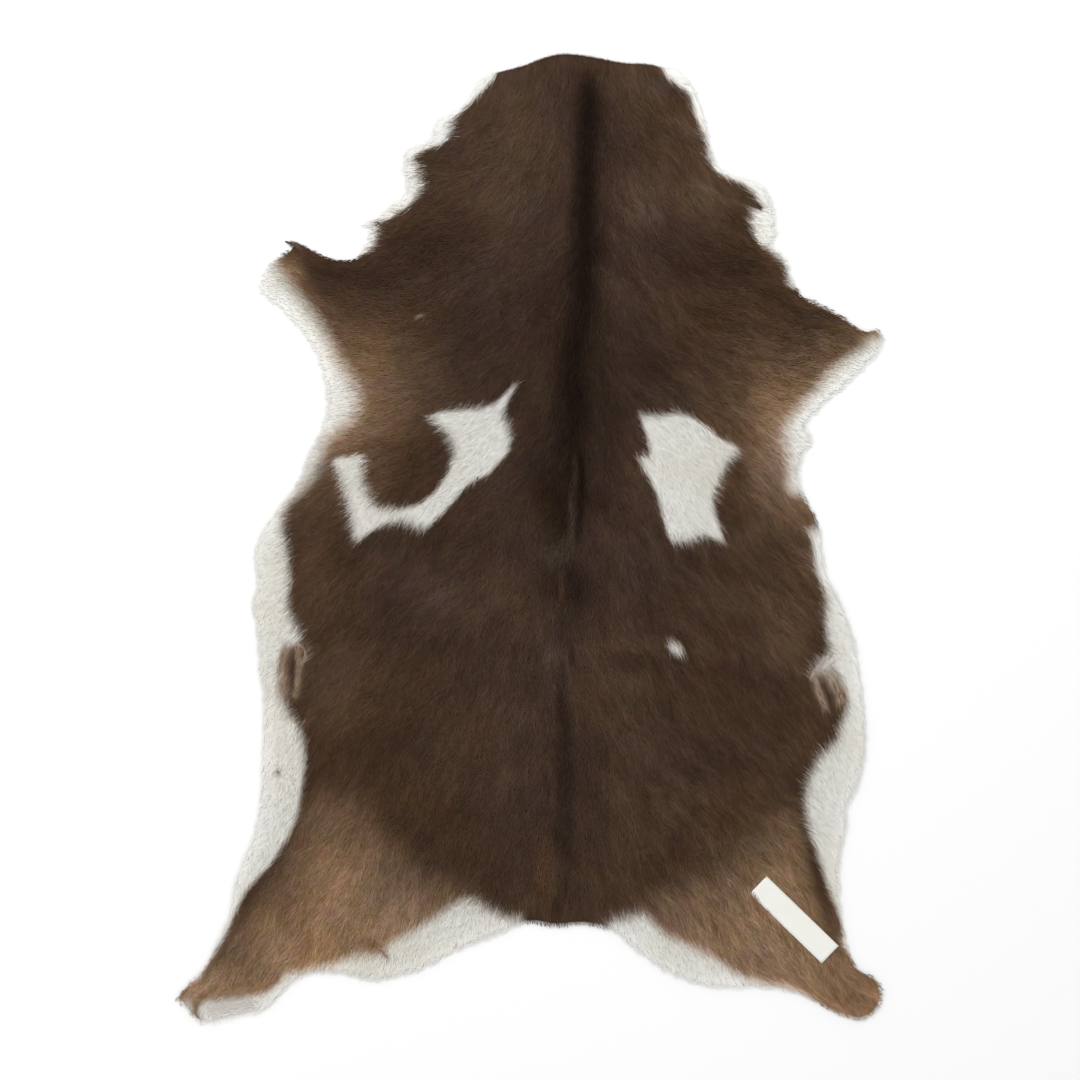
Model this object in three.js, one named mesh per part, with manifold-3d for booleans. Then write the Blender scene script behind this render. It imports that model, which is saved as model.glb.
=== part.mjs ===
import * as THREE from 'three';
import { mergeVertices } from 'three/addons/utils/BufferGeometryUtils.js';
import Module from 'manifold-3d';

// A goat hide with its short coat, lying flat with the hair side up, and the small label sewn to it.
// Millimetres, +Z up. The neck is towards +Y and the hind legs towards -Y.
// The hide lies on its flat flesh side at z = 0, and the origin is below the middle of its box.

// The hide: leather, and the coat that lies flat on it.
const LEATHER = 1.6;
const COAT = 4.6;
const RIM_HEIGHT = 2.6;
const RIM_TAPER = 34;

// How finely the coat's surface and the edge are cut up, and a height that is clear of the coat.
const TOP_GRID = 14;
const EDGE_STEP = 13;
const CLEAR_HEIGHT = 30;

// The coat is a little lumpy: low waves that wander, with these heights and lengths.
const LUMP = { height: 0.45, lengthX: 21, lengthY: 43, bendX: 1.7, bendY: 0.6, bendLengthX: 90, bendLengthY: 67 };

// How unevenly the tufts along a ragged edge are spaced and sized, as shares of the pitch and the size.
const TUFT = { notchScatter: 0.25, tipAt: 0.5, tipScatter: 0.2, smallest: 0.45 };

// The long hair along the backbone, and the thinner coat on the legs.
const RIDGE_HEIGHT = 1.9;
const RIDGE_WIDTH = 34;
const RIDGE_LEAN = 0.031;
const RIDGE_X = 42;
const LEG_THINNING = 1.5;

// The label, sewn at a slant on the right hind leg and pressed into the coat.
const LABEL = { length: 103, width: 25, thickness: 1.1, x: 271.5, y: -393, turn: -44.1, underside: 3.4 };
const GAP = 0.3;

// The edge of the hide, clockwise from the left end of the neck cut, as smooth stretches that meet in corners.
// Each starts where the one before it ends. x is to the right of the hide's middle, y towards the neck.
// locks are the tufts of hair along a ragged stretch: how far apart, how far out, and how far they lean
// along the edge (ahead of its direction where positive).
const stretches = [
  {
    name: 'neck cut',
    rows: [{ x: -31, y: 481 }, { x: -8, y: 487 }, { x: 12, y: 495 }, { x: 33, y: 500 },
      { x: 62, y: 497 }, { x: 95, y: 490.5 }, { x: 120, y: 489.5 }, { x: 137, y: 485 }],
  },
  {
    name: 'right side of the neck',
    locks: { pitch: 15, reach: 3, lean: 5 },
    rows: [{ x: 137, y: 485 }, { x: 154, y: 477 }, { x: 169, y: 456 }, { x: 180, y: 425 },
      { x: 184, y: 398 }, { x: 191, y: 381 }],
  },
  {
    name: 'top of the right shoulder tuft',
    rows: [{ x: 191, y: 381 }, { x: 205, y: 374 }, { x: 228, y: 368 }],
  },
  {
    name: 'right shoulder tuft',
    locks: { pitch: 14, reach: 4, lean: 6 },
    rows: [{ x: 228, y: 368 }, { x: 243, y: 352 }, { x: 250, y: 332 }, { x: 251, y: 310 }, { x: 243, y: 299 }],
  },
  {
    name: 'right shoulder',
    locks: { pitch: 16, reach: 2.5, lean: 5 },
    rows: [{ x: 243, y: 299 }, { x: 260, y: 287 }, { x: 269, y: 263 }, { x: 279, y: 248 }],
  },
  {
    name: 'top of the right foreleg',
    rows: [{ x: 279, y: 248 }, { x: 301, y: 238 }, { x: 322, y: 227 }, { x: 334, y: 217 },
      { x: 346, y: 212.5 }, { x: 357, y: 216 }],
  },
  {
    name: 'right fore hoof',
    rows: [{ x: 357, y: 216 }, { x: 362, y: 210 }, { x: 364.5, y: 200 }, { x: 358, y: 192 }],
  },
  {
    name: 'underside of the right foreleg',
    locks: { pitch: 16, reach: 3, lean: -4 },
    rows: [{ x: 358, y: 192 }, { x: 330, y: 164 }, { x: 296, y: 134 }, { x: 279, y: 115 }],
  },
  {
    name: 'wisp behind the right foreleg',
    rows: [{ x: 279, y: 115 }, { x: 291, y: 101 }, { x: 281, y: 87 }],
  },
  {
    name: 'right flank',
    locks: { pitch: 17, reach: 2, lean: 6 },
    rows: [{ x: 281, y: 87 }, { x: 275, y: 66 }, { x: 280, y: 43 }, { x: 294, y: 18 }, { x: 299, y: -8 },
      { x: 302, y: -34 }, { x: 316, y: -65 }, { x: 330, y: -100 }, { x: 338, y: -145 }, { x: 344, y: -200 },
      { x: 341, y: -237 }, { x: 333, y: -262 }],
  },
  {
    name: 'outside of the right hind leg',
    locks: { pitch: 20, reach: 1, lean: 6 },
    rows: [{ x: 333, y: -262 }, { x: 325, y: -278 }, { x: 324, y: -302 }, { x: 318, y: -328 },
      { x: 317, y: -370 }, { x: 322, y: -404 }, { x: 329, y: -430 }, { x: 337, y: -445 }],
  },
  {
    name: 'right hind hoof',
    rows: [{ x: 337, y: -445 }, { x: 351, y: -450 }, { x: 361, y: -461 }, { x: 363, y: -474 },
      { x: 356, y: -488 }, { x: 345, y: -496 }, { x: 329, y: -495 }],
  },
  {
    name: 'inside of the right hind leg',
    rows: [{ x: 329, y: -495 }, { x: 309, y: -487 }, { x: 290, y: -476 }, { x: 270, y: -467 },
      { x: 245, y: -463 }, { x: 221, y: -462 }],
  },
  {
    name: 'right thigh',
    locks: { pitch: 16, reach: 3, lean: -6 },
    rows: [{ x: 221, y: -462 }, { x: 190, y: -461 }, { x: 164, y: -455 }, { x: 142, y: -445 },
      { x: 122, y: -431 }, { x: 107, y: -421 }, { x: 93, y: -408 }],
  },
  {
    name: 'rump',
    rows: [{ x: 93, y: -408 }, { x: 76, y: -401 }, { x: 52, y: -397.5 }, { x: 27, y: -400 },
      { x: 0, y: -395.5 }, { x: -18, y: -400 }],
  },
  {
    name: 'left thigh',
    locks: { pitch: 16, reach: 2.5, lean: 6 },
    rows: [{ x: -18, y: -400 }, { x: -38, y: -409 }, { x: -74, y: -422 }, { x: -98, y: -435 },
      { x: -126, y: -447 }, { x: -160, y: -454 }, { x: -191, y: -448 }],
  },
  {
    name: 'inside of the left hind leg',
    rows: [{ x: -191, y: -448 }, { x: -226, y: -447.5 }, { x: -243, y: -456 }, { x: -259, y: -471 },
      { x: -273, y: -486 }, { x: -299, y: -492 }, { x: -325, y: -499 }],
  },
  {
    name: 'left hind hoof',
    rows: [{ x: -325, y: -499 }, { x: -338, y: -500 }, { x: -348, y: -494 }, { x: -354, y: -484 },
      { x: -361, y: -480 }, { x: -364.5, y: -474 }],
  },
  {
    name: 'outside of the left hind leg',
    rows: [{ x: -364.5, y: -474 }, { x: -352, y: -459 }, { x: -336, y: -443 }, { x: -317, y: -406 },
      { x: -308, y: -384 }, { x: -305, y: -360 }, { x: -295, y: -334 }, { x: -284, y: -308 },
      { x: -278, y: -279 }, { x: -275, y: -250 }],
  },
  {
    name: 'left flank',
    locks: { pitch: 18, reach: 2, lean: -6 },
    rows: [{ x: -275, y: -250 }, { x: -273, y: -210 }, { x: -273, y: -172 }, { x: -277, y: -135 },
      { x: -281, y: -88 }],
  },
  {
    name: 'tuft on the left flank',
    rows: [{ x: -281, y: -88 }, { x: -287, y: -71 }, { x: -286, y: -62 }, { x: -279, y: -54 }],
  },
  {
    name: 'left elbow',
    locks: { pitch: 17, reach: 2.5, lean: -5 },
    rows: [{ x: -279, y: -54 }, { x: -282, y: -19 }, { x: -276, y: 3 }, { x: -262, y: 23 },
      { x: -246, y: 44 }, { x: -234, y: 61 }],
  },
  {
    name: 'underside of the left foreleg',
    locks: { pitch: 16, reach: 3, lean: 4 },
    rows: [{ x: -234, y: 61 }, { x: -227, y: 85 }, { x: -215, y: 106 }, { x: -208, y: 132 },
      { x: -209, y: 158 }, { x: -217, y: 186 }, { x: -230, y: 207 }, { x: -248, y: 229 },
      { x: -266, y: 244 }, { x: -279, y: 257 }],
  },
  {
    name: 'left fore hoof',
    rows: [{ x: -279, y: 257 }, { x: -274, y: 272 }, { x: -265, y: 284 }, { x: -254, y: 293 },
      { x: -245, y: 297 }],
  },
  {
    name: 'dewclaw of the left foreleg',
    rows: [{ x: -245, y: 297 }, { x: -253, y: 304 }, { x: -246, y: 307 }],
  },
  {
    name: 'top of the left foreleg',
    rows: [{ x: -246, y: 307 }, { x: -229, y: 300 }, { x: -210, y: 289 }, { x: -191, y: 285.5 },
      { x: -174, y: 289 }],
  },
  {
    name: 'left shoulder',
    locks: { pitch: 13, reach: 3, lean: -4 },
    rows: [{ x: -174, y: 289 }, { x: -166, y: 305 }, { x: -162, y: 319 }],
  },
  {
    name: 'left shoulder tuft',
    rows: [{ x: -162, y: 319 }, { x: -175, y: 323 }, { x: -155, y: 328 }],
  },
  {
    name: 'left side of the neck',
    locks: { pitch: 15, reach: 4, lean: -6 },
    rows: [{ x: -155, y: 328 }, { x: -142, y: 340 }, { x: -126, y: 354 }, { x: -128, y: 371 },
      { x: -128, y: 391 }, { x: -120, y: 400 }, { x: -101, y: 406 }, { x: -96, y: 426 },
      { x: -78, y: 436 }, { x: -61, y: 450 }, { x: -55, y: 467 }, { x: -42, y: 477 }, { x: -31, y: 481 }],
  },
];

// Low folds in the hide: a soft ridge along a line from start to end, with its half width and height.
const folds = [
  { name: 'right flank whorl', x: 292, y: -142, toX: 316, toY: -172, width: 13, height: 2.2 },
  { name: 'right flank crease', x: 296, y: -128, toX: 324, toY: -118, width: 9, height: 1.4 },
  { name: 'left flank whorl', x: -236, y: -112, toX: -246, toY: -160, width: 13, height: 2.2 },
  { name: 'right shoulder fold', x: 120, y: 290, toX: 235, toY: 280, width: 26, height: 1.5 },
  { name: 'left shoulder fold', x: -75, y: 300, toX: -160, toY: 245, width: 26, height: 1.5 },
  { name: 'right thigh fold', x: 110, y: -350, toX: 190, toY: -300, width: 30, height: 1.2 },
  { name: 'left thigh fold', x: -90, y: -340, toX: -175, toY: -290, width: 30, height: 1.2 },
  { name: 'loin wave', x: -60, y: -95, toX: 150, toY: -85, width: 30, height: 1.1 },
];

// The four legs, each from its root at the trunk to its hoof, where the coat is thinner.
const legs = [
  { name: 'right foreleg', x: 215, y: 165, toX: 355, toY: 203, width: 75 },
  { name: 'left foreleg', x: -135, y: 190, toX: -258, toY: 280, width: 75 },
  { name: 'right hind leg', x: 215, y: -345, toX: 350, toY: -475, width: 85 },
  { name: 'left hind leg', x: -215, y: -345, toX: -345, toY: -485, width: 85 },
];

const wasm = await Module();
wasm.setup();

// A repeatable random number from 0 to 1 for the tuft with this number.
function scatter(number) {
  const wave = Math.sin(number * 12.9898 + 4.1) * 43758.5453;
  return wave - Math.floor(wave);
}

// The direction away from the hide at a place on the clockwise edge.
function outward(curve, at) {
  const along = curve.getTangentAt(at);
  return new THREE.Vector2(-along.y, along.x);
}

// A plain stretch is its curve in even steps. A ragged one has a notch and a leaning tip for each lock.
// The last point is left to the next stretch.
function edgeOf(stretch, seed) {
  const curve = new THREE.SplineCurve(stretch.rows.map((row) => new THREE.Vector2(row.x, row.y)));
  const length = curve.getLength();
  if (!stretch.locks) {
    return curve.getSpacedPoints(Math.max(1, Math.round(length / EDGE_STEP))).slice(0, -1);
  }
  const { pitch, reach, lean } = stretch.locks;
  const count = Math.max(1, Math.round(length / pitch));
  const points = [];
  for (let i = 0; i < count; i += 1) {
    const notchAt = (i + TUFT.notchScatter * scatter(seed + i) * Math.sign(i)) / count;
    const tipAt = (i + TUFT.tipAt + TUFT.tipScatter * scatter(seed + i + 0.5)) / count;
    const size = THREE.MathUtils.lerp(TUFT.smallest, 1, scatter(seed + i + 0.25));
    const tip = curve.getPointAt(tipAt);
    tip.addScaledVector(outward(curve, tipAt), reach * size);
    tip.addScaledVector(curve.getTangentAt(tipAt), lean * size);
    points.push(curve.getPointAt(notchAt), tip);
  }
  return points;
}

// How far a place is from a straight line between two others, and how far along it from 0 to 1.
function nearLine(x, y, fromX, fromY, toX, toY) {
  const lineX = toX - fromX;
  const lineY = toY - fromY;
  const along = ((x - fromX) * lineX + (y - fromY) * lineY) / (lineX * lineX + lineY * lineY);
  const at = THREE.MathUtils.clamp(along, 0, 1);
  return { distance: Math.hypot(x - fromX - at * lineX, y - fromY - at * lineY), at };
}

function distanceToEdge(x, y, edge) {
  let nearest = Infinity;
  for (let i = 0; i < edge.length; i += 1) {
    const here = edge[i];
    const next = edge[(i + 1) % edge.length];
    nearest = Math.min(nearest, nearLine(x, y, here.x, here.y, next.x, next.y).distance);
  }
  return nearest;
}

function bell(distance, width) {
  return Math.exp(-((distance / width) ** 2));
}

// The height of the coat's surface above the ground the hide lies on.
function coatHeight(x, y, edge) {
  const ridgeX = RIDGE_X + RIDGE_LEAN * y;
  let height = LEATHER + COAT + RIDGE_HEIGHT * bell(x - ridgeX, RIDGE_WIDTH);
  const waveX = x / LUMP.lengthX + LUMP.bendX * Math.sin(y / LUMP.bendLengthY);
  const waveY = y / LUMP.lengthY + LUMP.bendY * Math.sin(x / LUMP.bendLengthX);
  height += LUMP.height * Math.sin(waveX) * Math.cos(waveY);
  for (const fold of folds) {
    const line = nearLine(x, y, fold.x, fold.y, fold.toX, fold.toY);
    height += fold.height * bell(line.distance, fold.width);
  }
  for (const leg of legs) {
    const line = nearLine(x, y, leg.x, leg.y, leg.toX, leg.toY);
    height -= LEG_THINNING * line.at * bell(line.distance, leg.width);
  }
  const rim = THREE.MathUtils.smoothstep(distanceToEdge(x, y, edge), 0, RIM_TAPER);
  return THREE.MathUtils.lerp(RIM_HEIGHT, height, rim);
}

function toSolid(geometry) {
  geometry.deleteAttribute('normal');
  geometry.deleteAttribute('uv');
  const merged = mergeVertices(geometry, 1e-4);
  return new wasm.Manifold(new wasm.Mesh({
    numProp: 3,
    vertProperties: new Float32Array(merged.attributes.position.array),
    triVerts: new Uint32Array(merged.index.array),
  }));
}

function toGeometry(solid) {
  const mesh = solid.getMesh();
  const geometry = new THREE.BufferGeometry();
  geometry.setAttribute('position', new THREE.BufferAttribute(mesh.vertProperties, 3));
  geometry.setIndex(new THREE.BufferAttribute(mesh.triVerts, 1));
  geometry.computeVertexNormals();
  return geometry;
}

// A block over the whole hide, whose top is the coat's surface and whose underside is below the ground.
function coatBlock(edge) {
  const box = new THREE.Box2().setFromPoints(edge);
  const size = box.getSize(new THREE.Vector2()).addScalar(2 * TOP_GRID);
  const middle = box.getCenter(new THREE.Vector2());
  const columns = Math.ceil(size.x / TOP_GRID);
  const rows = Math.ceil(size.y / TOP_GRID);
  const geometry = new THREE.BoxGeometry(size.x, size.y, CLEAR_HEIGHT, columns, rows, 1);
  geometry.translate(middle.x, middle.y, -CLEAR_HEIGHT / 2);
  const position = geometry.attributes.position;
  for (let i = 0; i < position.count; i += 1) {
    if (position.getZ(i) > -CLEAR_HEIGHT / 2) {
      position.setZ(i, coatHeight(position.getX(i), position.getY(i), edge));
    }
  }
  return toSolid(geometry);
}

// The outline raised from the ground to well above the coat.
function outlinePrism(edge) {
  const shape = new THREE.Shape(edge);
  return toSolid(new THREE.ExtrudeGeometry(shape, { depth: CLEAR_HEIGHT, bevelEnabled: false }));
}

function labelBox(spare, height) {
  const geometry = new THREE.BoxGeometry(LABEL.length + 2 * spare, LABEL.width + 2 * spare, height);
  geometry.translate(0, 0, height / 2);
  geometry.rotateZ(THREE.MathUtils.degToRad(LABEL.turn));
  geometry.translate(LABEL.x, LABEL.y, LABEL.underside - spare);
  return geometry;
}

function goatskin() {
  const edge = stretches.flatMap((stretch, index) => edgeOf(stretch, 37 * index + 5));
  const hide = outlinePrism(edge).intersect(coatBlock(edge));
  const pocket = toSolid(labelBox(GAP, CLEAR_HEIGHT));
  const mesh = new THREE.Mesh(
    toGeometry(hide.subtract(pocket)),
    new THREE.MeshStandardMaterial({ color: 0x4a3a2e, roughness: 0.75, metalness: 0 }),
  );
  mesh.name = 'goatskin';
  return mesh;
}

function label() {
  const mesh = new THREE.Mesh(
    labelBox(0, LABEL.thickness),
    new THREE.MeshStandardMaterial({ color: 0xe4e3dc, roughness: 0.6, metalness: 0 }),
  );
  mesh.name = 'label';
  return mesh;
}

const group = new THREE.Group();
group.add(goatskin(), label());
const middle = new THREE.Box3().setFromObject(group).getCenter(new THREE.Vector3());
group.position.set(-middle.x, -middle.y, 0);

export default group;
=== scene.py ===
import math
from collections import namedtuple

import bmesh
import bpy
import numpy as np
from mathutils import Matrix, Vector
from mathutils.bvhtree import BVHTree
from mathutils.geometry import delaunay_2d_cdt


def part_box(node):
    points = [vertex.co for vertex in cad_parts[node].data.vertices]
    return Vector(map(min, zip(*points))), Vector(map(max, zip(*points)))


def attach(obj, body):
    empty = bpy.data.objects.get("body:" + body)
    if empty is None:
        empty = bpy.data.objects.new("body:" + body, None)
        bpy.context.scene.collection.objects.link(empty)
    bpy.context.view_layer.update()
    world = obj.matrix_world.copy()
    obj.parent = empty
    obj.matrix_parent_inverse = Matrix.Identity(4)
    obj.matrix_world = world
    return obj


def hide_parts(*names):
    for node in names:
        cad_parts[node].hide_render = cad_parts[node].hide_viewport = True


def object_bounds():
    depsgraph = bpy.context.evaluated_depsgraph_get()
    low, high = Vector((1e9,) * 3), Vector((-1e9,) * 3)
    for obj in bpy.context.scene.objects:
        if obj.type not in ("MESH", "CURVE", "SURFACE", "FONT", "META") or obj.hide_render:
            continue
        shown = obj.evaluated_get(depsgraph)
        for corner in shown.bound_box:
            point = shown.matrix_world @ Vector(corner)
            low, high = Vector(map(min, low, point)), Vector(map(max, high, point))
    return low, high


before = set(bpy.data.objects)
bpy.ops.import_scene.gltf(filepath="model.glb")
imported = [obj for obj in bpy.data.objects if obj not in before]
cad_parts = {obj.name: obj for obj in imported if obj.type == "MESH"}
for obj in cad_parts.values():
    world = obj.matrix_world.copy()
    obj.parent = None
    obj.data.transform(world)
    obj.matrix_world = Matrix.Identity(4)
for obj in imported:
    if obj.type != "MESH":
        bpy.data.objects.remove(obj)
cad_low, cad_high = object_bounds()

# A goat hide lying flat with the hair side up, and the small bare label sewn to its right hind leg.
# The neck is towards +Y. Tables are in millimetres and degrees, and everything else is in metres.
MM = 0.001


def table(columns, rows, defaults=()):
    """Rows with named columns. defaults are for the last columns, where a row leaves them out."""
    row = namedtuple("Row", columns, defaults=defaults)
    return [row(*values) for values in rows]


def layers(*rows):
    """Layers of noise: over what size each changes, its seed, and how strong it is."""
    return table("size seed amount", rows)


# The leather, and how far its cut edge lies inside the reach of the hair.
LEATHER = 1.4 * MM
LEATHER_INSET = 2.6 * MM
ROOT_INSET = 1.2 * MM
LEAST_INSET = 0.6
RIM_STEP = 4 * MM
RIM_PASSES = 3
SKIN_STEP = 6 * MM
RIM_LIFT = 1.1 * MM
RIM_LIFT_REACH = 26 * MM
RIM_LIFT_NOISE = layers((70, 3, 0.5))
RIM_HEIGHT = 2.6 * MM
UNDERFUR = 0.35
UNDERFUR_REACH = 15 * MM

# The coat's hairs: how far apart they root, and how long and wide they are. LENGTH_SCATTER and
# WIDTH_SCATTER are the lowest and the highest share of that. CURL_LENGTH is the share of the length
# that is left in the narrow strokes.
HAIR_STEP = 1.65 * MM
HAIR_LENGTH = 21 * MM
LENGTH_SCATTER = (0.7, 1.25)
CURL_LENGTH = 0.4
HAIR_WIDTH = 0.72 * MM
WIDTH_SCATTER = (0.7, 1.3)
HAIR_BELLY = 0.38
HAIR_STRAY = 10
HAIR_TILT = 0.3
HAIR_ARCH = 0.2 * MM
HAIR_SLOPE = 0.18
HAIR_ROUND = 0.2
HAIR_BOW = 0.1
HAIR_SEEN = (0.08, 0.4, 0.9)
SEEN_SCATTER = 1.2 * MM
RAGGED_SCATTER = 0.2
HAIR_PIECES = 5
BAKE_CELLS = 218
BAKE_ROW = 5 * MM

# How high each hair's root, belly and tip are between the skin and the coat's surface, at least and
# at most.
ROOT_HEIGHT = (0.25, 0.6)
BELLY_HEIGHT = (0.62, 0.92)
TIP_HEIGHT = (0.85, 1.05)

# How far hairs reach past the model's outline. The scatter is in millimetres.
OVERHANG = 1.4 * MM
OVERHANG_NOISE = layers((16, 61, 0.5))
OVERHANG_SCATTER = (-2, 2.5)

# The grid on which slow functions of place are worked out once.
GRID = 2 * MM
MARGIN = 40 * MM
MARKING_MARGIN = 90 * MM
MARKING_STEP = 6 * MM
NOISE_CELLS = 64
NOISE_SHIFT = 1000

# The label, as the model places it, and how it bends.
LABEL_LENGTH = 103 * MM
LABEL_WIDTH = 25 * MM
LABEL_THICKNESS = 0.5 * MM
LABEL_TURN = math.radians(-44.1)
LABEL_COLUMNS = 34
LABEL_ROWS = 8
LABEL_PROUD = 0.3 * MM
LABEL_BEND = layers((30, 81, 0.35))
LABEL_CURL = 0.5 * MM

# The photograph's width in metres at the floor, and the lens it is seen with.
PHOTO_WIDTH = 1.1124
PHOTO_CENTRE = Vector((10.3 * MM, -2.6 * MM, 0))
LENS = 80
SENSOR = 36

# The studio: a wide floor, even light from all round, and one large soft lamp.
FLOOR_SIZE = 8
SKY_STRENGTH = 0.86
LAMP_PLACE = Vector((-0.9, 1.4, 2.6))
LAMP_SIZE = 1.6
LAMP_POWER = 48

# Which way the hair lies at each level of the back: how far it turns outwards from the line of the
# back, on the left and the right, and how soon, and where the middle of the back is.
BACK = table("y middle left right soon", [
    (-500, 30, 40, 50, 100),
    (-400, 30, 36, 40, 120),
    (-300, 31, 36, 38, 90),
    (-200, 34, 38, 45, 100),
    (-100, 37, 45, 42, 100),
    (0, 41, 50, 45, 100),
    (50, 42, 70, 60, 120),
    (100, 44, 85, 68, 100),
    (200, 52, 88, 82, 110),
    (300, 57, 88, 80, 110),
    (400, 60, 80, 55, 100),
    (480, 62, 55, 50, 90),
])

# How the lie wanders, in degrees: everywhere, more at the neck, and more at the feet.
LIE_WANDER = layers((60, 51, 9), (14, 52, 16), (7, 56, 12))
NECK_WANDER = layers((20, 53, 18), (9, 54, 12))
FEET_WANDER = layers((10, 55, 30))
NECK_START = 180
NECK_FADE = 100

# Places where the hair lies another way: the direction, anticlockwise from the right, and how much
# of it there is in the middle.
TURNS = table("x y reach direction share", [
    (-225, 255, 50, 145, 0.9),
    (-170, 205, 45, 165, 0.6),
    (350, 203, 32, -35, 0.8),
    (300, 170, 45, -8, 0.5),
    (-270, -225, 55, -110, 0.8),
    (320, -200, 50, -70, 0.8),
    (-108, 388, 24, 178, 0.85),
    (218, 346, 20, -35, 0.7),
])

# The ends of the four legs, where the hair is shortest.
HOOVES = table("x y", [(-258, 285), (358, 203), (-345, -480), (350, -475)])
HOOF_REACH = 130 * MM
HOOF_SHORTENING = 0.55

# The dark stripe along the back: how wide it is to each side, fading all the way, and how dark.
STRIPE = table("y x width dark", [
    (-350, 36, 10, 0),
    (-312, 36, 12, 0.14),
    (-229, 36, 12, 0.12),
    (-188, 34, 8, 0.25),
    (-147, 33, 5, 0.45),
    (-120, 34, 4, 0.35),
    (-95, 36, 7, 0.1),
    (-75, 43, 18, 0.3),
    (-33, 38, 20, 0.28),
    (8, 35, 18, 0.5),
    (49, 36, 22, 0.65),
    (90, 41, 25, 0.85),
    (131, 46, 27, 1),
    (183, 45, 23, 0.95),
    (234, 55, 23, 1),
    (286, 58, 21, 1),
    (337, 58, 17, 1),
    (379, 59, 15, 0.97),
    (420, 60, 18, 1),
    (451, 60, 15, 0.95),
    (471, 57, 14, 0.75),
    (486, 56, 12, 0.2),
])

# How far the stripe wanders, and soft changes of tone and warmth over the whole coat. WARMTH_BACK
# is how far out from the line of the back the coat is greyer.
STRIPE_WANDER = layers((24, 41, 2))
TONE_NOISE = layers((85, 31, 0.06), (31, 32, 0.05))
WARMTH_NOISE = layers((70, 91, 0.2), (26, 92, 0.2))
WARMTH_BACK = 110

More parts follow.
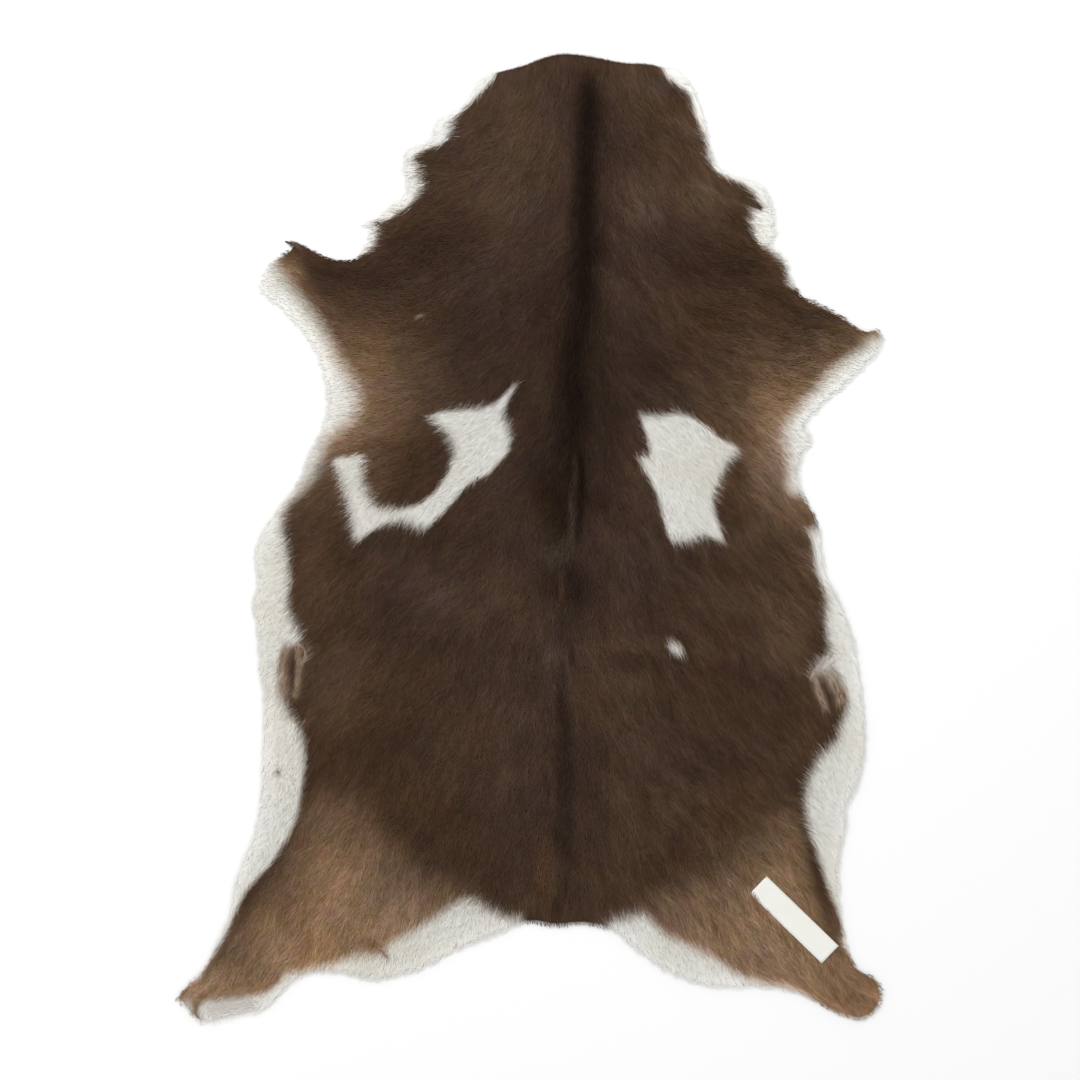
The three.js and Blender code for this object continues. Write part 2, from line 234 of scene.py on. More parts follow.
# The markings, as closed loops of x and y. soft is how wide the edge fades, and ragged is how far
# single hairs reach past it. Those along the rim run on outside the hide.
WHITE = table("name soft ragged loop", [
    ("left_elbow", 26, 6, [
        (-268, 292), (-262, 278), (-247, 257), (-233, 240), (-220, 222), (-209, 204), (-200, 185),
        (-187, 164), (-178, 140), (-186, 121), (-203, 107), (-212, 98), (-222, 72), (-231, 57),
        (-242, 47), (-270, 30), (-300, 60), (-270, 110), (-300, 270),
    ]),
    ("left_flank", 7, 4, [
        (-240, 50), (-250, 36), (-255, 24), (-256, 12), (-252, -8), (-248, -44), (-250, -64),
        (-248, -77), (-243, -90), (-236, -106), (-240, -111), (-252, -112), (-257, -123), (-259, -142),
        (-258, -160), (-250, -178), (-240, -193), (-234, -209), (-232, -224), (-234, -250),
        (-240, -286), (-247, -303), (-258, -322), (-270, -339), (-294, -366), (-314, -409),
        (-332, -437), (-346, -455), (-375, -440), (-330, -250), (-330, 0), (-290, 60),
    ]),
    ("right_flank", 8, 5, [
        (291, 8), (291, -3), (295, -33), (301, -49), (306, -64), (305, -85), (307, -106),
        (309, -118), (299, -130), (292, -139), (302, -134), (311, -132), (320, -147), (327, -165),
        (327, -175), (322, -190), (315, -209), (304, -221), (294, -234), (286, -255), (284, -270),
        (286, -291), (291, -312), (299, -332), (305, -353), (311, -368), (317, -384), (322, -399),
        (328, -425), (370, -400), (390, -200), (350, 0),
    ]),
    ("right_elbow", 20, 5, [
        (364, 206), (342, 194), (324, 182), (309, 170), (293, 150), (273, 129), (262, 111),
        (265, 90), (268, 70), (268, 49), (300, 55), (330, 120), (380, 180),
    ]),
    ("left_thigh", 13, 5, [
        (-252, -452), (-237, -448), (-206, -440), (-180, -430), (-160, -430), (-139, -415),
        (-113, -401), (-95, -390), (-78, -378), (-66, -373), (-56, -375), (-41, -384),
        (-26, -392), (-8, -397), (-20, -430), (-120, -480), (-240, -480),
    ]),
    ("right_thigh", 14, 5, [
        (88, -395), (95, -394), (105, -391), (118, -389), (129, -399), (139, -409), (155, -416),
        (175, -426), (196, -437), (212, -449), (238, -459), (262, -463), (285, -474), (290, -495),
        (140, -490), (70, -430),
    ]),
    ("left_ring", 5, 4, [
        (-103, 125), (-93, 128), (-72, 131), (-52, 132), (-34, 138), (-26, 146), (-14, 158),
        (-28, 129), (-24, 116), (-21, 100), (-23, 88), (-31, 78), (-43, 66), (-62, 57), (-72, 47),
        (-82, 33), (-93, 23), (-103, 12), (-114, 11), (-126, 16), (-139, 17), (-155, 12), (-167, 4),
        (-178, -3), (-183, 16), (-185, 28), (-190, 44), (-194, 59), (-201, 80), (-191, 82),
        (-173, 84), (-173, 70), (-171, 54), (-166, 40), (-158, 31), (-147, 28), (-130, 29),
        (-112, 35), (-96, 48), (-87, 61), (-80, 75), (-77, 88), (-80, 100), (-88, 111), (-98, 119),
    ]),
    ("right_patch", 5, 4, [
        (114, 126), (129, 124), (142, 126), (155, 127), (170, 121), (185, 111), (198, 100),
        (214, 91), (203, 78), (196, 64), (191, 51), (187, 39), (190, 23), (198, -3), (180, 3),
        (165, -1), (146, -3), (139, 13), (134, 33), (129, 49), (122, 64), (113, 79), (124, 85),
        (122, 100), (118, 113),
    ]),
    ("right_spot", 7, 3, [
        (144, -110), (149, -109), (155, -112), (158, -117), (155, -119), (149, -119), (144, -116),
    ]),
    ("neck_left", 5, 6, [
        (-34, 482), (-51, 458), (-59, 450), (-74, 435), (-81, 428), (-82, 418), (-85, 409),
        (-94, 404), (-107, 400), (-121, 391), (-118, 384), (-115, 377), (-117, 371), (-111, 362),
        (-117, 353), (-123, 343), (-138, 334), (-147, 327), (-162, 325), (-158, 318), (-165, 296),
        (-190, 300), (-150, 410), (-60, 500),
    ]),
    ("neck_right", 7, 6, [
        (138, 480), (154, 465), (165, 456), (170, 438), (177, 420), (184, 404), (185, 389),
        (194, 376), (223, 362), (235, 348), (237, 338), (229, 335), (229, 319), (237, 303),
        (252, 292), (264, 278), (270, 257), (300, 280), (270, 370), (200, 420), (150, 500),
    ]),
    ("left_hoof_pad", 9, 4, [
        (-342, -484), (-335, -479), (-314, -476), (-294, -474), (-273, -469), (-260, -461),
        (-247, -454), (-250, -500), (-340, -510),
    ]),
])

# Zones of tan and of dark hair. soft is how wide they fade, and most is their share deep inside.
TAN = table("name soft most loop", [
    ("left_foreleg", 85, 0.6, [
        (-185, 198), (-163, 191), (-148, 175), (-143, 155), (-147, 133), (-165, 114), (-177, 98),
        (-188, 82), (-206, 80), (-237, 100), (-247, 142), (-237, 193),
    ]),
    ("left_elbow_tan", 30, 0.32, [
        (-198, 196), (-180, 181), (-167, 162), (-161, 142), (-167, 121), (-183, 104), (-206, 106),
        (-216, 162), (-214, 193),
    ]),
    ("right_foreleg", 95, 0.62, [
        (324, 200), (299, 182), (270, 162), (244, 159), (231, 142), (231, 110), (234, 85), (247, 62),
        (266, 40), (300, 40), (330, 110), (365, 175),
    ]),
    ("right_elbow_tan", 35, 0.36, [
        (278, 152), (254, 131), (243, 111), (247, 90), (254, 70), (270, 49), (288, 59), (283, 111),
        (309, 142),
    ]),
    ("left_hind_leg", 30, 0.4, [
        (-276, -368), (-252, -322), (-237, -289), (-211, -268), (-175, -279), (-149, -310),
        (-124, -334), (-108, -355), (-77, -358), (-60, -392), (-140, -440), (-390, -540),
        (-400, -470), (-335, -430), (-304, -399),
    ]),
    ("left_hind_leg_middle", 35, 0.72, [
        (-211, -322), (-185, -320), (-167, -342), (-157, -368), (-124, -379), (-93, -399),
        (-103, -435), (-206, -476), (-360, -507), (-360, -466), (-303, -443), (-276, -420),
        (-276, -404), (-240, -389), (-225, -363),
    ]),
    ("right_hind_leg", 34, 0.4, [
        (249, -292), (229, -313), (211, -333), (183, -353), (155, -367), (129, -377), (113, -397),
        (180, -500), (237, -538), (400, -520), (345, -435), (300, -340), (278, -288),
    ]),
    ("right_hind_leg_middle", 30, 0.58, [
        (255, -332), (232, -358), (216, -380), (187, -393), (160, -409), (165, -435), (237, -476),
        (340, -507), (370, -476), (314, -435), (294, -404), (273, -363),
    ]),
])
DARK = table("name soft most loop", [
    ("back_low", 7, 0.4, [
        (26, -167), (39, -167), (45, -229), (46, -260), (44, -306), (48, -340), (41, -344),
        (31, -322), (24, -305), (27, -270), (27, -219),
    ]),
    ("left_of_the_ridge", 12, 0.32, [
        (5, 59), (23, 61), (37, 39), (38, 13), (27, 6), (10, 16),
    ]),
    ("right_of_the_ridge", 4, 0.6, [
        (50, 85), (54, 85), (56, 49), (54, 23), (50, -6), (46, -6), (49, 23), (51, 49),
    ]),
    ("back_slit", 3.5, 0.6, [(40, -110), (46, -110), (46, -132), (40, -132)]),
    ("under_the_grey", 9, 0.3, [(10, -31), (57, -29), (60, -62), (31, -66), (10, -56)]),
    ("rump_line", 3.5, 0.35, [(36, -342), (40, -342), (40, -368), (37, -368)]),
    ("rump_spot", 5, 0.35, [(24, -374), (34, -374), (34, -384), (24, -384)]),
])

# Soft patches lighter or darker than the coat round them, partly its own tone and partly painted
# sheen and shade. turn is anticlockwise.
TONES = table("name x y across along amount turn", [
    ("neck, left", -10, 415, 55, 80, 0.08),
    ("neck, left edge", -67, 412, 22, 40, 0.13, 15),
    ("neck, left corner", -125, 340, 14, 14, 0.06),
    ("neck, left tuft", -90, 392, 16, 9, -0.15),
    ("neck, right", 134, 420, 40, 70, 0.07),
    ("neck, right edge", 187, 355, 26, 24, 0.17),
    ("withers, left", -30, 335, 40, 45, 0.1),
    ("withers, right", 112, 343, 40, 34, 0.14),
    ("right shoulder, inside", 113, 195, 32, 55, -0.25),
    # Painted shade: dark bands over the shoulders, where the lie of the hair turns it from the light.
    ("left shoulder band", -105, 300, 60, 22, -0.34, 20),
    ("right shoulder band", 180, 280, 70, 22, -0.3, -15),
    ("left foreleg, top edge", -188, 270, 46, 13, -0.45, -10),
    ("left foreleg, upper", -150, 243, 45, 20, -0.12, -10),
    ("left foreleg, tip", -245, 272, 14, 17, 0.8, 40),
    ("left foreleg, outer edge", -216, 240, 8, 28, 0.2, 40),
    ("right foreleg, tip", 350, 207, 13, 9, 0.38),
    ("right foreleg, top edge", 290, 228, 50, 12, -0.3, -25),
    ("left of the stripe", 10, 235, 26, 45, -0.35),
    ("left of the stripe, dark line", -26, 245, 7, 40, -0.25),
    ("left shoulder", -58, 205, 30, 36, -0.32),
    ("behind the left shoulder", -15, 150, 20, 28, -0.35),
    ("right of the stripe", 86, 120, 16, 60, -0.35),
    ("left of the stripe, low", 2, 70, 16, 42, -0.3),
    ("over the loin", 67, 40, 18, 34, -0.4),
    ("inside the ring, dark", -122, 76, 30, 24, -0.2, 30),
    ("under the ring", -85, -3, 75, 14, -0.25, 4),
    ("under the ring, right", -28, -10, 34, 18, -0.15),
    ("left flank", -222, -40, 26, 50, 0.08),
    ("left flank, dark", -149, -72, 20, 30, -0.22),
    ("left of the loin", -95, -64, 50, 22, 0.12, -12),
    # Painted shade along the crease across the back, and painted light where the crease is lit.
    ("crease, left", -100, -108, 85, 7, -0.18, -7),
    ("crease, middle", 31, -124, 28, 10, 0.1),
    ("crease, right, light", 98, -110, 50, 7, 0.08, 3),
    ("crease, right", 170, -134, 70, 7, -0.18, -6),
    ("under the crease, right", 95, -155, 40, 14, 0.06),
    ("loin, dark", 46, -50, 26, 24, -0.18),
    ("left belly", -195, -160, 30, 34, 0.06),
    ("left thigh, middle", -206, -373, 22, 16, -0.05),
    ("rump, right of the middle", 22, -355, 12, 16, 0.05),
    ("left hoof", -343, -466, 12, 10, 0.45),
    ("loin, right", 113, -40, 30, 60, -0.12),
    ("right flank", 260, -100, 26, 36, 0.2),
    ("right thigh, top", 240, -322, 20, 22, -0.2),
    ("left hind leg, low", -299, -435, 30, 16, -0.12, -30),
    ("neck, top left", -15, 435, 22, 34, 0.08),
    ("right flank, edge", 283, -20, 14, 60, 0.12),
    ("right flank, under the tuft", 292, -185, 24, 30, 0.1),
    ("behind the patch", 214, 66, 12, 40, -0.2),
    ("left back, light", -62, -188, 22, 42, 0.08, -10),
    ("left back, dark", -139, -205, 32, 28, -0.22),
    ("left back, edge", -214, -240, 14, 40, 0.1),
    ("loin, left", -62, -300, 50, 45, -0.1),
    ("right back, dark", 175, -222, 30, 30, -0.12),
    ("right of the back line", 64, -245, 14, 38, -0.25),
    ("rump, ochre", 11, -340, 11, 26, 0.14, 8),
    ("rump, middle", -2, -373, 16, 10, 0.1),
    ("loin, line", 37, -85, 9, 12, -0.1),
    ("over the right elbow", 241, 80, 22, 36, 0.17),
    ("left shin, light", -240, -405, 20, 12, -0.08, -35),
    ("rump, right rim", 145, -370, 20, 12, 0.15, -20),
    ("rump, left", -32, -350, 14, 24, -0.2),
    ("above the left thigh", -110, -318, 50, 16, -0.1, -40),
    ("left hind leg, outside", -285, -365, 11, 75, -0.2, -32),
    ("right hind leg, outside", 298, -352, 8, 60, -0.4, 12),
    ("grey over the back", 27, -17, 24, 10, 0.1),
    ("grey over the loin", 27, -119, 14, 9, 0.12),
], defaults=[0])

# Where the brown is greyer, below 0, or more reddish.
HUES = table("name x y across along amount turn", [
    ("over the back", 27, -17, 28, 12, -0.9),
    ("over the loin", 27, -119, 18, 12, -0.9),
    ("low back", 36, -260, 14, 90, -0.5),
    ("thin line", 26, -86, 5, 12, -0.9),
    ("left of the ridge", 20, 35, 20, 26, 0.6),
    ("rump", 11, -340, 14, 28, 0.25),
    ("left of the loin", -92, -60, 60, 40, -0.35),
    ("right of the loin", 110, -30, 50, 60, -0.25),
    ("withers, right", 150, 320, 50, 40, -0.3),
    ("left shoulder", -35, 230, 45, 60, -0.35),
    ("over the right elbow", 243, 75, 26, 34, -0.6),
    ("left thigh, white", -110, -435, 90, 40, 0.45),
    ("right shoulder", 110, 200, 50, 60, -0.3),
], defaults=[0])

# Narrow strokes of another colour and lie: curled tufts, folds and flecks. width fades all the way,
# rise is how far the hair stands up there in millimetres, and the hair lies along the path.
STROKES = table("name width white tan dark warmth rise path", [
    ("left tuft, outside", 5, 0.08, 0.85, 0, 0.2, 0.8, [(-251, -116), (-255, -131), (-254, -163)]),
    ("left tuft, inside", 4, 0.04, 0.7, 0, 0.2, 0.8, [(-239, -114), (-236, -130), (-241, -162)]),
    # Painted shade: the groove's dark share, where the tuft parts and sinks.
    ("left tuft, groove", 1.3, 0, 0.1, 0.25, 0.4, -0.8, [(-244, -128), (-243, -154)]),
    ("left tuft, curl", 1.3, 0.22, 0.8, 0, 0.4, 1, [
        (-246, -111), (-237, -110), (-231, -116), (-230, -124), (-235, -130),
    ]),
    ("left tuft, wisp", 2, 0.4, 0.8, 0, 0.5, 1, [(-255, -140), (-260, -150), (-259, -160), (-254, -166)]),
    ("right tuft, inside", 3.5, 0.08, 0.82, 0, 0.2, 0.8, [(293, -144), (296, -157), (303, -174)]),
    # Painted shade: the groove's dark share, where the tuft parts and sinks.
    ("right tuft, groove", 1.3, 0, 0.1, 0.25, 0.4, -0.8, [(301, -147), (307, -165)]),
    ("right tuft, upper", 5, 0.3, 0.75, 0, 0.3, 0.8, [(303, -137), (309, -144), (313, -152)]),
    ("right tuft, outside", 5, 0.08, 0.8, 0, 0.3, 0.8, [(312, -150), (317, -160), (318, -168)]),
    ("right tuft, fringe", 2.4, 0.45, 0.8, 0, 0.5, 0.8, [(307, -134), (317, -143), (325, -158)]),
    ("right tuft, spot", 2.4, 0.05, 0.7, 0, 0.75, 0.8, [(319, -160), (321, -167)]),
    ("right tuft, wedge", 3.5, 0.85, 0.8, 0, 0.5, 0.4, [(311, -126), (303, -132)]),
    ("right tuft, fold", 1.5, 0.5, 0.75, 0, 0.5, 0.8, [(307, -121), (298, -129), (291, -138), (288, -145)]),
    ("ridge, top", 2.6, 0, 0, 0.3, 0, 0.6, [(46, 80), (47, 68), (43, 47), (42, 34)]),
    ("ridge, low", 3, 0, 0.04, 0, 0, 0.6, [(42, 34), (44, 16), (41, -4)]),
    ("loin, ochre", 3, 0, 0.03, 0, 0.62, 0.2, [(31, -40), (33, -54), (30, -70)]),
    ("rump, ochre", 8, 0, 0.07, 0, 0.9, 0, [(16, -318), (10, -342), (13, -366)]),
    ("left thigh, streak", 2.4, 0, 0.5, 0.1, 0.7, 0, [(-168, -414), (-158, -421), (-146, -432)]),
    ("left belly, dot", 2, 0, 0, 0.75, 0.5, 0, [(-260, -241), (-258, -242)]),
    ("left shoulder, fleck", 1.5, 0.08, 0.7, 0, 0.5, 0.3, [(-112, 228), (-117, 226)]),
    ("left hind foot, thumb", 5, 0.6, 0.8, 0, 0.4, 0, [(-353, -480), (-351, -493)]),
    ("left hind foot, wedge", 2.6, 0, 0.6, 0, 0.6, 0, [(-343, -480), (-344, -489), (-340, -496)]),
    ("left hind foot, pad", 9, 0.82, 0.85, 0, 0.6, 0, [(-326, -487), (-290, -482)]),
])

# Thin locks that reach past the hide's edge. fan is their width at the tip, as a share of that at the root.
LOCKS = table("name hairs width fan tan dark warmth path", [
    ("left forefoot, tip", 40, 5, 0.3, 0.16, 0, 0, [(-232, 295), (-242, 301), (-253, 305)]),
    ("neck, right tuft", 26, 7, 0.5, 0.04, 0, 0.4, [(212, 352), (226, 345), (240, 337)]),
])
LOCK_RINGS = 7
LOCK_RISE = 1.2 * MM
LOCK_THICK = 0.3 * MM
LOCK_DROP = 1.2 * MM
LOCK_BEGIN = (0, 0.3)
LOCK_END = (0.75, 1)
LOCK_STRAY = 0.12
LOCK_UNEVEN = 0.3
LOCK_LOOK = 0.03
LOCK_CELLS = 16

# Where the white hair is brightest: partly its own colour, partly painted light shining through thin hair.
BRIGHT = table("x y reach amount", [
    (-230, 200, 75, 0.4),
    (320, 165, 75, 0.4),
    (-120, 390, 90, 0.15),
    (185, 430, 90, 0.8),
    (250, 320, 50, 0.8),
    (225, -465, 40, 0.4),
])

# How much the hairs differ in tone on the left side, and how much more they do on the right: hair by
# hair, in streaks along the hair, and in patches. Tan hairs differ more too.
Spread = namedtuple("Spread", "left more")
FINE_TONES = Spread(0.08, 0.05)
STREAK_TONES = Spread(0.16, 0.07)
PATCH_TONES = Spread(0.09, 0.05)
TAN_TONES = 0.1
RIGHT_SIDE = 50 * MM
RIGHT_FADE = 60 * MM
PATCHES = layers((12, 72, 1))
STREAK_SAMPLES = 7
STREAK_WIDTH = 4 * MM
STREAK_LENGTH = 22 * MM
BROWN_SEED = 71
PALE_SEED = 73

# White hair: its middle tone, how it differs hair by hair and in streaks, and how much lighter it is
# along the rim, partly painted light through the thin hair there. EDGE_TAN is the tan hair along the
# edge of each white marking.
PALE_TONE = 0.4
PALE_FINE = 0.3
PALE_STREAK = 0.06
PALE_RIM = 0.25
PALE_RIM_REACH = 16 * MM
EDGE_TAN = 1.3

# The colours of the hair, each from its darkest to its lightest hairs, as linear values.
BROWN = [(0.032, 0.0162, 0.0090), (0.051, 0.0275, 0.0160), (0.076, 0.0440, 0.0266)]
TAN_BROWN = [(0.200, 0.1180, 0.0650), (0.352, 0.2220, 0.1320), (0.530, 0.3600, 0.2350)]
DARK_BROWN = [(0.007, 0.0030, 0.0016), (0.012, 0.0052, 0.0027), (0.020, 0.0095, 0.0055)]
PALE = [(0.630, 0.6150, 0.5600), (0.745, 0.7370, 0.7020), (0.875, 0.8750, 0.8600)]

random = np.random.default_rng(11)


# Places and fields

grid_x = np.arange(cad_low.x - MARGIN, cad_high.x + MARGIN, GRID)
grid_y = np.arange(cad_low.y - MARGIN, cad_high.y + MARGIN, GRID)
grid_places = np.stack(np.meshgrid(grid_x, grid_y), axis=-1).reshape(-1, 2)


def between(values, row, next_row, column, next_column, part):
    """What lies between four neighbours in a grid of values. part is how far it is across and along."""
    across, along = part.T
    near = values[row, column] * (1 - across) + values[row, next_column] * across
    far = values[next_row, column] * (1 - across) + values[next_row, next_column] * across
    return near * (1 - along) + far * along


def read(field, places):
    """A field's values at these places, between the grid's own points."""
    last = [len(grid_x) - 1.001, len(grid_y) - 1.001]
    at = np.clip((places - [grid_x[0], grid_y[0]]) / GRID, 0, last)
    whole = np.floor(at).astype(int)
    column, row = whole.T
    values = field.reshape(len(grid_y), len(grid_x))
    return between(values, row, row + 1, column, column + 1, at - whole)


def noise(places, size, seed):
    """Soft random values from -1 to 1 that change over about this size."""
    lattice = np.random.default_rng(seed).uniform(-1, 1, (NOISE_CELLS, NOISE_CELLS))
    at = places / size + NOISE_SHIFT
    whole = np.floor(at).astype(int)
    column, row = (whole % NOISE_CELLS).T
    next_column, next_row = ((whole + 1) % NOISE_CELLS).T
    return between(lattice, row, next_row, column, next_column, ease(at - whole))


def noise_sum(rows, places):
    """These layers of noise, added up."""
    return sum(row.amount * noise(places, row.size * MM, row.seed) for row in rows)


def ease(share):
    """0 below 0, 1 above 1, and a smooth step between."""
    share = np.clip(share, 0, 1)
    return share * share * (3 - 2 * share)


def bell(places, spot, reach):
    """1 at a spot, and almost nothing at twice the reach from it."""
    away = np.linalg.norm(places - np.array([spot.x, spot.y]) * MM, axis=1) / reach
    return np.exp(-(away**2))


def columns_at(rows, y, *names):
    """These columns of a table, at levels between its rows."""
    levels = [row.y for row in rows]
    return [np.interp(y, levels, [getattr(row, name) for row in rows]) for name in names]


def unit(steps):
    """The same directions with a length of 1."""
    return steps / np.linalg.norm(steps, axis=-1, keepdims=True)


def left_of(steps):
    """Steps in x and y, turned a quarter to the left."""
    return np.stack([-steps[..., 1], steps[..., 0]], axis=-1)


def depth_inside(loop, places):
    """How deep each place is inside a closed loop, and below 0 outside it."""
    nearest = np.full(len(places), np.inf)
    inside = np.zeros(len(places), bool)
    for start, end in zip(loop, np.roll(loop, -1, axis=0)):
        line = end - start
        out = places - start
        share = np.clip((out @ line) / (line @ line), 0, 1)
        away = out - share[:, None] * line
        nearest = np.minimum(nearest, np.einsum("ij,ij->i", away, away))
        spans = (start[1] > places[:, 1]) != (end[1] > places[:, 1])
        slope = line[0] / line[1] if line[1] else 0
        inside ^= spans & (out[:, 0] < out[:, 1] * slope)
    return np.where(inside, 1, -1) * np.sqrt(nearest)


def smooth_loop(points, step):
    """A closed curve through these points, with a point about every step."""
    points = np.asarray(points, float)
    before, after, later = (np.roll(points, shift, axis=0) for shift in (1, -1, -2))
    curve = []
    for p0, p1, p2, p3 in zip(before, points, after, later):
        count = max(1, round(float(np.linalg.norm(p2 - p1)) / step))
        for t in np.arange(count) / count:
            pull = 2 * p1 + (p2 - p0) * t
            pull = pull + (2 * p0 - 5 * p1 + 4 * p2 - p3) * t**2
            pull = pull + (3 * p1 - p0 - 3 * p2 + p3) * t**3
            curve.append(pull / 2)
    return np.array(curve)


def rim_of(node):
    """The edge of the model's flat underside, in order."""
    mesh = bmesh.new()
    mesh.from_mesh(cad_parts[node].data)
    bmesh.ops.remove_doubles(mesh, verts=mesh.verts, dist=0.01 * MM)
    under = {face for face in mesh.faces if face.normal.z < -0.9}
    edges = [e for e in mesh.edges if sum(face in under for face in e.link_faces) == 1]
    beside = {}
    for edge in edges:
        one, other = edge.verts
        beside.setdefault(one, []).append(other)
        beside.setdefault(other, []).append(one)
    here = edges[0].verts[0]
    came_from = None
    loop = []
    while not loop or here is not edges[0].verts[0]:
        loop.append((here.co.x, here.co.y))
        there = beside[here][0] if beside[here][0] is not came_from else beside[here][1]
        here, came_from = there, here
    mesh.free()
    return np.array(loop)


def even_loop(loop, step):
    """The same closed loop with a point at every step."""
    closed = np.vstack([loop, loop[:1]])
    run = np.concatenate([[0], np.cumsum(np.linalg.norm(np.diff(closed, axis=0), axis=1))])
    at = np.linspace(0, run[-1], round(run[-1] / step), endpoint=False)
    return np.stack([np.interp(at, run, closed[:, 0]), np.interp(at, run, closed[:, 1])], axis=1)


def surface_of(node):
    """The height of the model's upper side on the grid."""
    tree = BVHTree.FromObject(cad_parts[node], bpy.context.evaluated_depsgraph_get())
    heights = np.full(len(grid_places), RIM_HEIGHT)
    for index in np.flatnonzero(reach > 0):
        hit = tree.ray_cast((*grid_places[index], 1), (0, 0, -1))[0]
        if hit is not None:
            heights[index] = hit.z
    return heights


hair_rim = rim_of("goatskin")
reach = depth_inside(hair_rim, grid_places)
surface = surface_of("goatskin")

leather_rim = even_loop(hair_rim, RIM_STEP)
for _ in range(RIM_PASSES):
    leather_rim = (np.roll(leather_rim, 1, axis=0) + 2 * leather_rim + np.roll(leather_rim, -1, axis=0)) / 4


def lift(places):
    """How far the hide's underside rises off the floor: only a little, and only near the rim."""
    near_rim = 1 - ease(read(reach, places) / RIM_LIFT_REACH)
    return RIM_LIFT * near_rim * (0.5 + noise_sum(RIM_LIFT_NOISE, places))


# Markings

def marking_depth(marking):
    """How deep each spot of the grid is inside a marking. Spots far outside it keep one low value."""
    loop = smooth_loop(np.array(marking.loop) * MM, MARKING_STEP)
    low = loop.min(axis=0) - MARKING_MARGIN
    high = loop.max(axis=0) + MARKING_MARGIN
    near = np.all((grid_places > low) & (grid_places < high), axis=1) & (reach > -MARKING_MARGIN)
    depth = np.full(len(grid_places), -MARKING_MARGIN)
    depth[near] = depth_inside(loop, grid_places[near])
    return depth


marking_depths = {marking.name: marking_depth(marking) for marking in [*WHITE, *TAN, *DARK]}


def marking_share(marking, places, ragged):
    """How much of a marking there is at these places. ragged moves its edge at each of them."""
    depth = read(marking_depths[marking.name], places)
    depth = depth + ragged * marking.ragged * MM
    return ease(0.5 + depth / (marking.soft * MM))


def white_at(places, ragged):
    """How white the hair is at these places."""
    return np.max([marking_share(marking, places, ragged) for marking in WHITE], axis=0)


def zone_share(zones, places):
    """How much of these zones there is at these places, where overlapping zones add up."""
    outside = np.ones(len(places))
    for zone in zones:
        depth = read(marking_depths[zone.name], places) / (zone.soft * MM)
        outside *= 1 - zone.most / (1 + np.exp(-4 * np.clip(depth, -5, 5)))
    return 1 - outside


def soft_sum(rows, places):
    """What these soft patches add up to at these places."""
    total = np.zeros(len(places))
    for row in rows:
        turn = math.radians(row.turn)
        out = places - np.array([row.x, row.y]) * MM
        across = out @ [math.cos(turn), math.sin(turn)] / (row.across * MM)
        along = out @ [-math.sin(turn), math.cos(turn)] / (row.along * MM)
        total += row.amount * np.exp(-(across**2) - along**2)
    return total


def tone_at(places):
    """How much lighter, above 0, or darker the coat is at these places, partly as painted sheen and shade.
    """
    return soft_sum(TONES, places) + noise_sum(TONE_NOISE, places)


def stripe_at(places):
    """How much of the dark stripe there is at these places."""
    x, y = places.T / MM
    middle, width, dark = columns_at(STRIPE, y, "x", "width", "dark")
    wander = noise_sum(STRIPE_WANDER, places)
    return dark * np.exp(-(((x - middle - wander) / width) ** 2))


def stroke_share(stroke, places):
    """How much of a stroke there is at these places, and which way its path runs there."""
    path = np.array(stroke.path) * MM
    width = stroke.width * MM
    low = path.min(axis=0) - 2.5 * width
    high = path.max(axis=0) + 2.5 * width
    near = np.all((places > low) & (places < high), axis=1)
    share = np.zeros(len(places))
    along = np.zeros((len(places), 2))
    if not near.any():
        return share, along
    closest = np.full(near.sum(), np.inf)
    steps = np.zeros((near.sum(), 2))
    for start, end in zip(path, path[1:]):
        line = end - start
        out = places[near] - start
        part = np.clip((out @ line) / (line @ line), 0, 1)
        away = np.linalg.norm(out - part[:, None] * line, axis=1)
        nearer = away < closest
        closest = np.where(nearer, away, closest)
        steps[nearer] = line / np.linalg.norm(line)
    share[near] = np.exp(-((closest / width) ** 2))
    along[near] = steps
    return share, along


def colours_at(places, ragged):
    """The shares of white, tan and dark at these places."""
    tone = tone_at(places)
    white = white_at(places, ragged)
    # Lighter tone patches add tan and darker ones add dark, painted sheen and shade among them.
    tan = zone_share(TAN, places) + 0.7 * np.clip(tone, 0, 1)
    dark = stripe_at(places) + zone_share(DARK, places) + np.clip(-tone, 0, 1)
    tan = tan * (1 - np.clip(-tone * 1.5, 0, 1))
    tan = tan + EDGE_TAN * white * (1 - white)
    colours = np.clip(np.stack([white, tan, dark], axis=1), 0, 1)
    for stroke in STROKES:
        share = stroke_share(stroke, places)[0][:, None]
        colours = colours * (1 - share) + share * [stroke.white, stroke.tan, stroke.dark]
    return colours


def warmth_at(places):
    """How reddish the brown is: from 0, greyish, near the line of the back, to 1 towards the flanks."""
    x, y = places.T / MM
    (middle,) = columns_at(BACK, y, "middle")
    near_back = np.exp(-(((x - middle) / WARMTH_BACK) ** 2))
    patchy = noise_sum(WARMTH_NOISE, places)
    warmth = np.clip(0.65 - 0.35 * near_back + patchy + soft_sum(HUES, places), 0, 1)
    for stroke in STROKES:
        share = stroke_share(stroke, places)[0]
        warmth = warmth * (1 - share) + share * stroke.warmth
    return warmth


def rise_at(places):
    """How far the hair stands up or sinks in the tufts and folds."""
    return sum(stroke_share(stroke, places)[0] * stroke.rise * MM for stroke in STROKES)


# The lie of the hair

